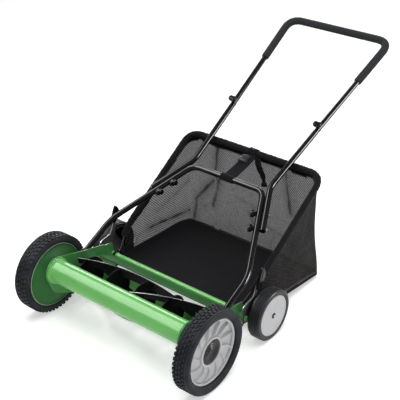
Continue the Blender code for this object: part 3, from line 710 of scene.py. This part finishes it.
def reel_blade(number):
    """A twisted strip with a bright ground land along its outer edge."""
    half, steps, land = 0.0011, 72, 0.0016
    section = [(BLADE_INNER_R, -half), (REEL_R - land, -half), (REEL_R, -half * 0.9), (REEL_R, half * 0.9),
               (REEL_R - land, half), (BLADE_INNER_R, half)]
    verts = []
    for i in range(steps + 1):
        x = -REEL_HALF + 2 * REEL_HALF * i / steps
        angle = blade_angle(number, x)
        out = Vector((0, math.cos(angle), math.sin(angle)))
        aside = Vector((0, -out.z, out.y))
        verts += [Vector((x, REEL.y, REEL.z)) + out * r + aside * w for r, w in section]
    name = f"blade_{number + 1}"
    made = piece(name, (verts, tube_faces(steps + 1, len(section))), BLADE_BLACK, "reel",
                 [f"reel_{name}"], 20)
    repaint_where(made, GROUND_STEEL, lambda spot: radius_from(REEL, spot) > REEL_R - land)


def reel_spider(name, x):
    """Disc slotted for the blades, with a pressed boss on the shaft."""
    rim, floor, slit, thick = 0.0650, BLADE_INNER_R - 0.0004, 0.0019, 0.0012
    edge = []
    for number in range(BLADES):
        middle_angle = blade_angle(number, x)
        low, high = slit / floor, slit / rim
        edge += [(floor, middle_angle - low), (floor, middle_angle + low)]
        end = middle_angle + 2 * math.pi / BLADES - high
        start = middle_angle + high
        edge += [(rim, start + (end - start) * k / 20) for k in range(21)]
    outline = [(REEL.y - AXLE.y + r * math.cos(a), REEL.z + r * math.sin(a)) for r, a in edge]
    prism("spider_" + name, outline, x - thick, x + thick, BLADE_BLACK, "reel",
          ["reel_spider_" + name], 0.0004)
    boss = [(0.0074, 0.006), (0.0120, 0.006), (0.0135, 0.0045), (0.0140, 0.0012), (0.0140, -0.0012),
            (0.0135, -0.0045), (0.0120, -0.006), (0.0074, -0.006)]
    turned("spider_boss_" + name, [(r, x + h) for r, h in boss], REEL, BLADE_BLACK, "reel", (),
           1, 32, True)


def reel_shaft():
    end = span("reel_shaft")[1]
    half = [(0, end), (0.0060, end), (0.0070, end - 0.001)]
    turned("shaft", two_sided(half), REEL, BLADE_BLACK, "reel", ["reel_shaft"], 1, 32)


# ---- handle ----
HANDLE_Y, HANDLE_Z, HANDLE_SLOPE = 0.112, 0.1575, 0.466
LEG_X, LEG_END_Y, LEG_BEND_Y = 0.2690, 0.098, 0.237
TOP_X, TOP_Y = 0.138, 0.499
KNOB_Y = (0.382, 0.427)
MID_GAP = 2 * HANDLE_R + 0.0003
MID_END_Y, MID_BEND_Y, UPPER_KNOB_Y = 0.372, 0.510, 0.757
JOINT_X, JOINT_Y, JOINT_GAP = 0.1660, 0.742, 0.0006
UPPER_TOP = (0.1985, 1.1385)


def on_handle(x, y):
    """A point of the handle's plane."""
    return at(x, y, HANDLE_Z + HANDLE_SLOPE * (y - HANDLE_Y))


def mirrored(points):
    return points + [Vector((-x, y, z)) for x, y, z in reversed(points)]


LEG_RUN = (on_handle(TOP_X, TOP_Y) - on_handle(LEG_X, LEG_BEND_Y)).normalized()
LEG_SIDE = Vector((LEG_RUN.y, -LEG_RUN.x, 0)).normalized()


def leg_point(y):
    start = on_handle(LEG_X, LEG_BEND_Y)
    return start + LEG_RUN * ((y - LEG_BEND_Y) / LEG_RUN.y)


def lower_handle():
    half = [on_handle(LEG_X, LEG_END_Y), on_handle(LEG_X, LEG_BEND_Y), on_handle(TOP_X, TOP_Y)]
    path = softened(half + [on_handle(0, TOP_Y)], 0.032, 12)[:-1]
    tube("lower_u", mirrored(path), HANDLE_R, BLACK_ENAMEL, "handle", ["lower_handle"])


def middle_tube(side_name, side):
    path = [leg_point(MID_END_Y) + LEG_SIDE * MID_GAP, leg_point(MID_BEND_Y) + LEG_SIDE * MID_GAP,
            on_handle(JOINT_X, JOINT_Y)]
    path = [on_handle(side * p.x, p.y - AXLE.y) for p in softened(path, 0.022, 10)]
    tube("mid_tube_" + side_name, path, HANDLE_R, BLACK_ENAMEL, "handle", ["middle_tube_" + side_name])
    plug = [path[0] + (path[1] - path[0]).normalized() * 0.004, path[0]]
    tube("mid_plug_" + side_name, plug, HANDLE_R * 0.9, CAP_BLACK, "handle")


def upper_path(start_y):
    lower, corner = on_handle(JOINT_X, JOINT_Y + JOINT_GAP), on_handle(*UPPER_TOP)
    run = corner - lower
    start = lower + run * ((start_y + AXLE.y - lower.y) / run.y)
    return mirrored(softened([start, corner, on_handle(0, UPPER_TOP[1])], 0.050, 14)[:-1])


def upper_handle():
    tube("upper_u", upper_path(JOINT_Y + JOINT_GAP), UPPER_R, BLACK_ENAMEL, "handle", ["upper_handle"])
    path = dense(upper_path(0.957), 0.004)

    def section(i):
        near = min(i, len(path) - 1 - i, 2)
        return ring(FOAM_R * (0.86, 0.97, 1.0)[near], 28)

    grip = piece("grip_sleeve", swept(path, section), FOAM, "handle", ["foam_grip"], 50)


def knob(name, point, out, far, replaced, size):
    """A two-lobed knob that points along out, with its bolt running back to a domed head at far."""
    turn = out.to_track_quat("Z", "Y").to_matrix()

    def spun(levels, steps, flutes=()):
        verts = []
        for k, (radius, height) in enumerate(levels):
            for i in range(steps):
                angle = 2 * math.pi * i / steps
                flute = 0.52 * (0.5 - 0.5 * math.cos(2 * angle)) ** 2 if k in flutes else 0
                wide = radius * (1 - flute)
                spot = Vector((wide * math.cos(angle), wide * math.sin(angle), height))
                verts.append(point + turn @ spot)
        return verts, grid_faces(len(levels), steps, False, True)

    base = HANDLE_R + 0.0003
    levels = [(0.0060, base), (0.0062, base + 0.0040), (0.0100, base + 0.0052), (0.0112, base + 0.0075),
              (0.0112, base + 0.0135), (0.0098, base + 0.0162), (0.0050, base + 0.0172), (0, base + 0.0174)]
    levels = [(radius * size, height) for radius, height in levels]
    piece(name, spun(levels, 48, range(2, 6)), CAP_BLACK, "handle", replaced, 40)
    bolt = [(0.0030, base), (0.0030, far), (0.0055, far), (0.0052, far - 0.0020), (0.0030, far - 0.0034)]
    piece(name + "_bolt", spun(bolt + [(0, far - 0.0036)], 20), ZINC, "handle", (), 40)


def inner_knob(side_name, side, number, y):
    point, out = leg_point(y), LEG_SIDE.copy()
    point.x, out.x = point.x * side, out.x * side
    knob(f"clamp_knob_{side_name}_{number}", point, -out, -MID_GAP - HANDLE_R - 0.0003,
         [f"inner_knob_{side_name}_{number}"], 1.25)


def upper_knob(side_name, side):
    point = upper_path(UPPER_KNOB_Y)[0]
    point.x *= side
    up = Vector((0, -HANDLE_SLOPE, 1)).normalized()
    knob("top_knob_" + side_name, point, up, -UPPER_R - 0.0003, ["upper_knob_" + side_name], 1.3)


# ---- grass catcher ----
FLOOR_FRONT, FLOOR_BACK = (0.258, 0.050), (0.630, 0.0125)


def rim_path():
    """One half of the catcher's wire: the hook over the rear rod, and the rim from there to its middle."""
    hook_r = ROD_R + 0.001 + WIRE_R + 0.0003
    hook = [around(at(0, 0.222, 0.096), hook_r, math.radians(180 - 10 * k), 0.243) for k in range(17)]
    rise = [at(0.246, 0.252, 0.112), at(CATCHER_X, 0.300, 0.158), at(CATCHER_X, RIM_Y, RIM_Z)]
    rim = softened(rise + [at(0, RIM_Y, RIM_Z)], RIM_BEND, 12)[:-1]
    return hook + rim[:1], rim[1:]


def dense(path, step):
    """The same path with extra points, no further apart than step."""
    made = [path[0]]
    for start, end in zip(path, path[1:]):
        count = max(1, math.ceil((end - start).length / step))
        made += [start.lerp(end, (k + 1) / count) for k in range(count)]
    return made


def catcher_frame():
    hook, rim = rim_path()
    tube("catcher_wire", mirrored(hook + rim), WIRE_R, BLACK_ENAMEL, "catcher", ["catcher_frame"])


def rim_binding():
    """Cloth sleeve sewn round the wire, a little slack, so that it puckers."""
    path = dense(mirrored(rim_path()[1]), 0.006)

    def section(i):
        pucker = 0.0009 * lump(i * 0.35, 0, 0) + 0.0004 * math.sin(i * 1.9)
        outline = ring(BINDING_R + pucker, 16)
        return [(a * (1 + 0.05 * lump(i * 0.2, a * 300, b * 300)), b) for a, b in outline]

    piece("binding", swept(path, section), BINDING, "catcher", ["rim_binding"], 60)


def floor_z(y):
    (y0, z0), (y1, z1) = FLOOR_FRONT, FLOOR_BACK
    return z0 + (z1 - z0) * (y - y0) / (y1 - y0)


def floor_half(y):
    return CATCHER_X + 0.0105 * (y - FLOOR_FRONT[0]) / (FLOOR_BACK[0] - FLOOR_FRONT[0])


# folds of the cloth: wall, start and end as (distance along the wall, height), depth, half width, strength
# of the painted shade along the fold
CREASES = (
    ("back", (-0.143, 0.366), (-0.141, 0.262), 0.010, 0.006, 0.9),
    ("back", (-0.141, 0.262), (-0.120, 0.225), 0.007, 0.004, 0.8),
    ("back", (-0.120, 0.240), (-0.158, 0.120), 0.008, 0.004, 0.8),
    ("back", (-0.150, 0.225), (-0.222, 0.135), 0.010, 0.006, 0.9),
    ("back", (-0.222, 0.135), (-0.247, 0.034), 0.010, 0.006, 0.8),
    ("back", (0.132, 0.335), (0.160, 0.205), 0.008, 0.005, 0.8),
    ("back", (-0.060, 0.185), (0.060, 0.165), 0.003, 0.003, 0.4),
    ("back", (-0.010, 0.150), (0.010, 0.110), 0.003, 0.003, 0.5),
    ("back", (0.060, 0.120), (0.170, 0.095), 0.003, 0.003, 0.4),
    ("left", (0.395, 0.106), (0.660, 0.060), 0.004, 0.005, 0.9),
    ("left", (0.440, 0.150), (0.620, 0.190), 0.003, 0.004, 0.4),
    ("right", (0.455, 0.240), (0.560, 0.075), 0.005, 0.006, 0.3),
    ("right", (0.600, 0.300), (0.560, 0.170), 0.004, 0.005, 0.3),
    ("right", (0.480, 0.110), (0.610, 0.130), 0.004, 0.005, 0.3),
)
WALL_FRONT_Y, WALL_BACK_Y = 0.317, FLOOR_BACK[0] + 0.003
WALL_LEAD = 0.036                 # how far the mesh walls run on in front of WALL_FRONT_Y
HEM = 0.013                       # depth of the black hem under the binding


def distance(spot, start, end):
    spot, start, end = Vector(spot), Vector(start), Vector(end)
    run = end - start
    share = clamped((spot - start).dot(run) / run.length_squared)
    return (spot - start - run * share).length


def crease_at(wall, spot):
    """How deep the folds pull the wall in at a spot, and the painted shade in and beside them, from 0 to 1.
    """
    depth, dark = 0.0, 0.0
    for name, start, end, deep, wide, shade_strength in CREASES:
        if name == wall:
            wander = 0.004 * lump(spot[0] * 30, spot[1] * 30, deep * 900)
            away = distance(spot, start, end)
            near = math.exp(-((away + wander) / wide) ** 2)
            halo = math.exp(-(away / (wide * 4)) ** 2)
            depth += deep * halo
            dark = max(dark, near * shade_strength, 0.35 * halo * shade_strength)
    # thin lines of painted shade for fine wrinkles, low on the walls, with no fold in the cloth under them
    wrinkle = max(0, 1 - abs(lump(spot[0] * 13, spot[1] * 19, 7)) / 0.045)
    return depth, max(dark, 0.32 * wrinkle * clamped((0.25 - spot[1]) / 0.08))


def seam_point(top):
    """The point of the floor's seam that lies under a point of the rim, from the front axle."""
    y, half = top.y - AXLE.y, abs(top.x)
    side_end, seam_half = WALL_BACK_Y - SEAM_BEND, floor_half(WALL_BACK_Y)
    if y < RIM_Y - RIM_BEND:
        share = (y - WALL_FRONT_Y) / (RIM_Y - RIM_BEND - WALL_FRONT_Y)
        low_y = WALL_FRONT_Y + share * (side_end - WALL_FRONT_Y)
        return math.copysign(floor_half(low_y), top.x), low_y
    if y > RIM_Y - 1e-6:
        return top.x * (seam_half - SEAM_BEND) / (CATCHER_X - RIM_BEND), WALL_BACK_Y
    share = SEAM_BEND / RIM_BEND
    return math.copysign(seam_half - (CATCHER_X - half) * share, top.x), WALL_BACK_Y - (RIM_Y - y) * share


def bag_wall():
    """Side, back and side walls as one shell, lofted from the floor's seam to the rim and let sag."""
    rim = [p for p in dense(mirrored(rim_path()[1]), 0.0045) if p.y - AXLE.y > WALL_FRONT_Y - WALL_LEAD]
    rows, verts, darkness = 64, [], []
    for i, top in enumerate(rim):
        low_x, low_y = seam_point(top)
        low = at(low_x, low_y, floor_z(low_y))
        wall = "back" if top.y - AXLE.y > RIM_Y - 0.012 else ("left" if top.x < 0 else "right")
        along = rim[min(i + 10, len(rim) - 1)] - rim[max(i - 10, 0)]
        inward = Vector((along.y, -along.x, 0)).normalized()
        inward = inward if inward.dot(at(0, 0.45, 0) - top) > 0 else -inward
        height = top.z - low.z
        slack = 0.007 * min(1, height / 0.2) * clamped((top.y - AXLE.y - WALL_FRONT_Y) / 0.08)
        for j in range(rows + 1):
            v = j / rows
            spot = low.lerp(top, v)
            across = spot.x if wall == "back" else spot.y - AXLE.y
            folded, dark = crease_at(wall, (across, spot.z))
            fade = min(1, 8 * v, 8 * (1 - v))
            ripple = 0.0035 * lump(spot.x * 11, spot.y * 11, spot.z * 7)
            sag = slack * math.sin(math.pi * v) ** 1.5
            verts.append(spot + inward * ((ripple + folded) * fade + sag))
            top_edge = (1 - v) * height + 0.004 * lump(across * 25, 0, 3)
            low_edge = v * height + 0.003 * lump(across * 30, 4, 0)
            # painted shade of the folds and wrinkles, the black hem under the binding, and a dark band
            # along the bottom 12 mm
            darkness.append(max(dark, top_edge < HEM + BINDING_R, 0.9 * (low_edge < 0.012)))
    made = piece("bag_walls", (verts, grid_faces(len(rim), rows + 1)), MESH_CLOTH, "catcher",
                 ["catcher_bag"], 80)
    shade = made.data.attributes.new("painted_shade_and_hems", "FLOAT", "POINT")
    shade.data.foreach_set("value", [float(value) for value in darkness])


def front_flap(side_name, side):
    """Low canvas flap in front of a side wall, turned up from the floor."""
    verts, columns, rows = [], 16, 6
    start, end = 0.262, WALL_FRONT_Y + 0.010
    for i in range(columns + 1):
        t = i / columns
        y = start + (end - start) * t
        height = 0.097 - 0.015 * t - floor_z(y)
        for j in range(rows + 1):
            v = j / rows
            lean = 0.002 * math.sin(math.pi * v) + 0.0012 * lump(y * 40, v * 2, side) - 0.003 * v
            verts.append(at(side * (floor_half(y) + lean), y, floor_z(y) + height * v))
    shape = verts, grid_faces(columns + 1, rows + 1)
    thicken(piece("front_flap_" + side_name, shape, CANVAS, "catcher", (), 80), 0.0012)


def bag_floor():
    """Canvas floor, turned up along its sides where it is sewn to the walls."""
    across, along = 64, 48
    verts = []
    for j in range(along + 1):
        t = j / along
        y = FLOOR_FRONT[0] + (FLOOR_BACK[0] + 0.002 - FLOOR_FRONT[0]) * t
        corner = min(1, (1 - t) / 0.16) ** 0.6
        for i in range(across + 1):
            u = 2 * i / across - 1
            x = u * (floor_half(y) - 0.0015)
            if t > 0.9:
                x *= 1 - 0.05 * ((t - 0.9) / 0.1) ** 3 * abs(u) ** 6
            side_up = 0.017 * abs(u) ** 12 * corner * min(1, 0.4 + 3 * t)
            back_up = 0.006 * t ** 16
            dip = -0.0015 * (1 - u * u)
            wrinkle = 0.0022 * lump(x * 6, y * 6, 0) + 0.0008 * lump(x * 25, y * 20, 5)
            verts.append(at(x, y, floor_z(y) + 0.0025 + side_up + back_up + dip + wrinkle))
    made = piece("bag_floor", (verts, grid_faces(along + 1, across + 1)), CANVAS, "catcher",
                 ["catcher_floor"], 80)
    thicken(made, 0.0016)


# ---- strap ----
def band(name, path, widths, thick, across, body, replaced=()):
    """Flat webbing along a path, with its width at each point; across is the direction of that width."""
    verts, across = [], Vector(across).normalized()
    outline = ((-1, -1), (-0.96, -1), (0.96, -1), (1, -1), (1, 1), (0.96, 1), (-0.96, 1), (-1, 1))
    for i, point in enumerate(path):
        ahead = (path[min(i + 1, len(path) - 1)] - path[max(i - 1, 0)]).normalized()
        flat = (across - ahead * across.dot(ahead)).normalized()
        normal = ahead.cross(flat)
        verts += [point + flat * (a * widths[i] / 2) + normal * (b * thick / 2) for a, b in outline]
    shape = verts, tube_faces(len(path), len(outline))
    return piece(name, shape, WEBBING, body, replaced, 40)


def webbing_loop(name, centre, radius, width, thick, body):
    path = [around(centre, radius, math.radians(10 * k), 0) for k in range(37)]
    band(name, path, [width] * len(path), thick, (1, 0, 0), body)


def strap():
    top, bar = at(0, RIM_Y, RIM_Z), on_handle(0, TOP_Y)
    along = (bar - top).normalized()
    start, end = top + along * (BINDING_R + 0.002), bar - along * (HANDLE_R + 0.002)
    drop = [Vector((0, 0, -0.003 * math.sin(math.pi * k / 32))) for k in range(33)]
    path = [start.lerp(end, k / 32) + lower for k, lower in enumerate(drop)]
    width = [0.030 + 0.012 * min(1, k / 4) for k in range(33)]
    band("strap_webbing", path, width, 0.0028, (1, 0, 0), "strap", ["catcher_strap"])
    buckle(path[7] + Vector((-0.009, 0, 0.002)), along)
    webbing_loop("strap_loop", bar, HANDLE_R + 0.0016, 0.046, 0.0026, "handle")
    webbing_loop("rim_loop", top, BINDING_R + 0.0020, 0.030, 0.0024, "catcher")
    tail = [at(0.026 + 0.030 * k / 20, RIM_Y - 0.016 - 0.004 * math.sin(k / 3),
               RIM_Z - 0.004 - 0.098 * k / 20) for k in range(21)]
    width = [0.019 + 0.004 * math.sin(math.pi * min(1, k / 14)) if k < 15 else 0.012 + 0.010 * (k > 17)
             for k in range(21)]
    band("strap_tail", tail, width, 0.0026, (1, 0, 0.25), "catcher")
    circle = ring(0.0050, 24)
    path = [at(a - 0.004, RIM_Y - 0.004, RIM_Z + BINDING_R + 0.0035 + b) for a, b in circle + circle[:1]]
    tube("strap_ring", path, 0.0011, ZINC, "catcher")


def buckle(point, along):
    """Side-squeeze buckle: a rounded body with a waist and two ribs across it."""
    across = Vector((1, 0, 0))
    up = across.cross(along).normalized()
    up = up if up.z > 0 else -up
    verts, lengths = [], 13
    for i in range(lengths):
        t = 2 * i / (lengths - 1) - 1
        half = 0.0185 - 0.0035 * (1 - t * t) ** 2 if abs(t) < 0.98 else 0.0165
        high = 0.0045 * (1 - 0.35 * t * t) + (0.0010 if i in (3, 9) else 0)
        for a, b in ring(1.0, 16):
            flat = math.copysign(abs(a) ** 0.45, a), math.copysign(abs(b) ** 0.6, b)
            verts.append(point + along * (0.017 * t) + across * half * flat[0] + up * high * flat[1])
    piece("strap_buckle", (verts, tube_faces(lengths, 16)), BUCKLE_GREY, "strap", (), 50)


# ---- height adjusters ----
def height_lever(side_name, side):
    base, body = span("height_lever_left")[0], "height_arm_body_" + side_name
    edge = [(0.257, 0.170), (0.255, 0.182), (0.262, 0.200), (0.270, 0.220), (0.279, 0.237), (0.284, 0.236),
            (0.295, 0.216), (0.293, 0.203), (0.281, 0.186), (0.270, 0.172)]
    grip = softened(edge, 0.006, 4, True)
    prism("lever_grip_" + side_name, grip, base, base + 0.008, CAP_BLACK, body,
          ["height_lever_" + side_name], 0.0022, side)
    # a lighter grey pad in the lever's loop: painted highlight in its pocket
    painted_highlight_pad = [(0.272, 0.199), (0.281, 0.228), (0.290, 0.213), (0.288, 0.203), (0.281, 0.192)]
    painted_highlight_pad = softened(painted_highlight_pad, 0.004, 4, True)
    prism("lever_pad_" + side_name, painted_highlight_pad, base + 0.0078, base + 0.0090, BUCKLE_GREY, body, (), 0.0004, side)


# ---- build ----
for side_name, side in SIDES:
    front_tyre(side_name, side)
    front_hub(side_name, side)
    hub_cap(side_name, side)
    gear_cover(side_name, side)
    rear_tyre(side_name, side)
    rear_hub(side_name, side)
    plate_ring(side_name, side)
    middle_tube(side_name, side)
    upper_knob(side_name, side)
    height_lever(side_name, side)
    front_flap(side_name, side)
    for number, y in enumerate(KNOB_Y, 1):
        inner_knob(side_name, side, number, y)
    repaint(PLATE_GREEN, "side_plate_" + side_name, "rear_bracket_" + side_name)
    repaint(ZINC, "height_arm_" + side_name, "front_axle_" + side_name, "handle_bolt_" + side_name)
    repaint(GROUND_STEEL, "pinion_" + side_name)
front_tube()
rear_rod()
# the deflector wears the darker green of painted shade
repaint(DEFLECTOR_PAINTED_SHADE_GREEN, "rear_deflector")
repaint(BRIGHT_GREEN, "cutter_bar")
repaint(BEDKNIFE_STEEL, "bedknife")
for number in range(BLADES):
    reel_blade(number)
for name, x in SPIDERS.items():
    reel_spider(name, x)
reel_shaft()
lower_handle()
upper_handle()
catcher_frame()
rim_binding()
bag_wall()
bag_floor()
strap()
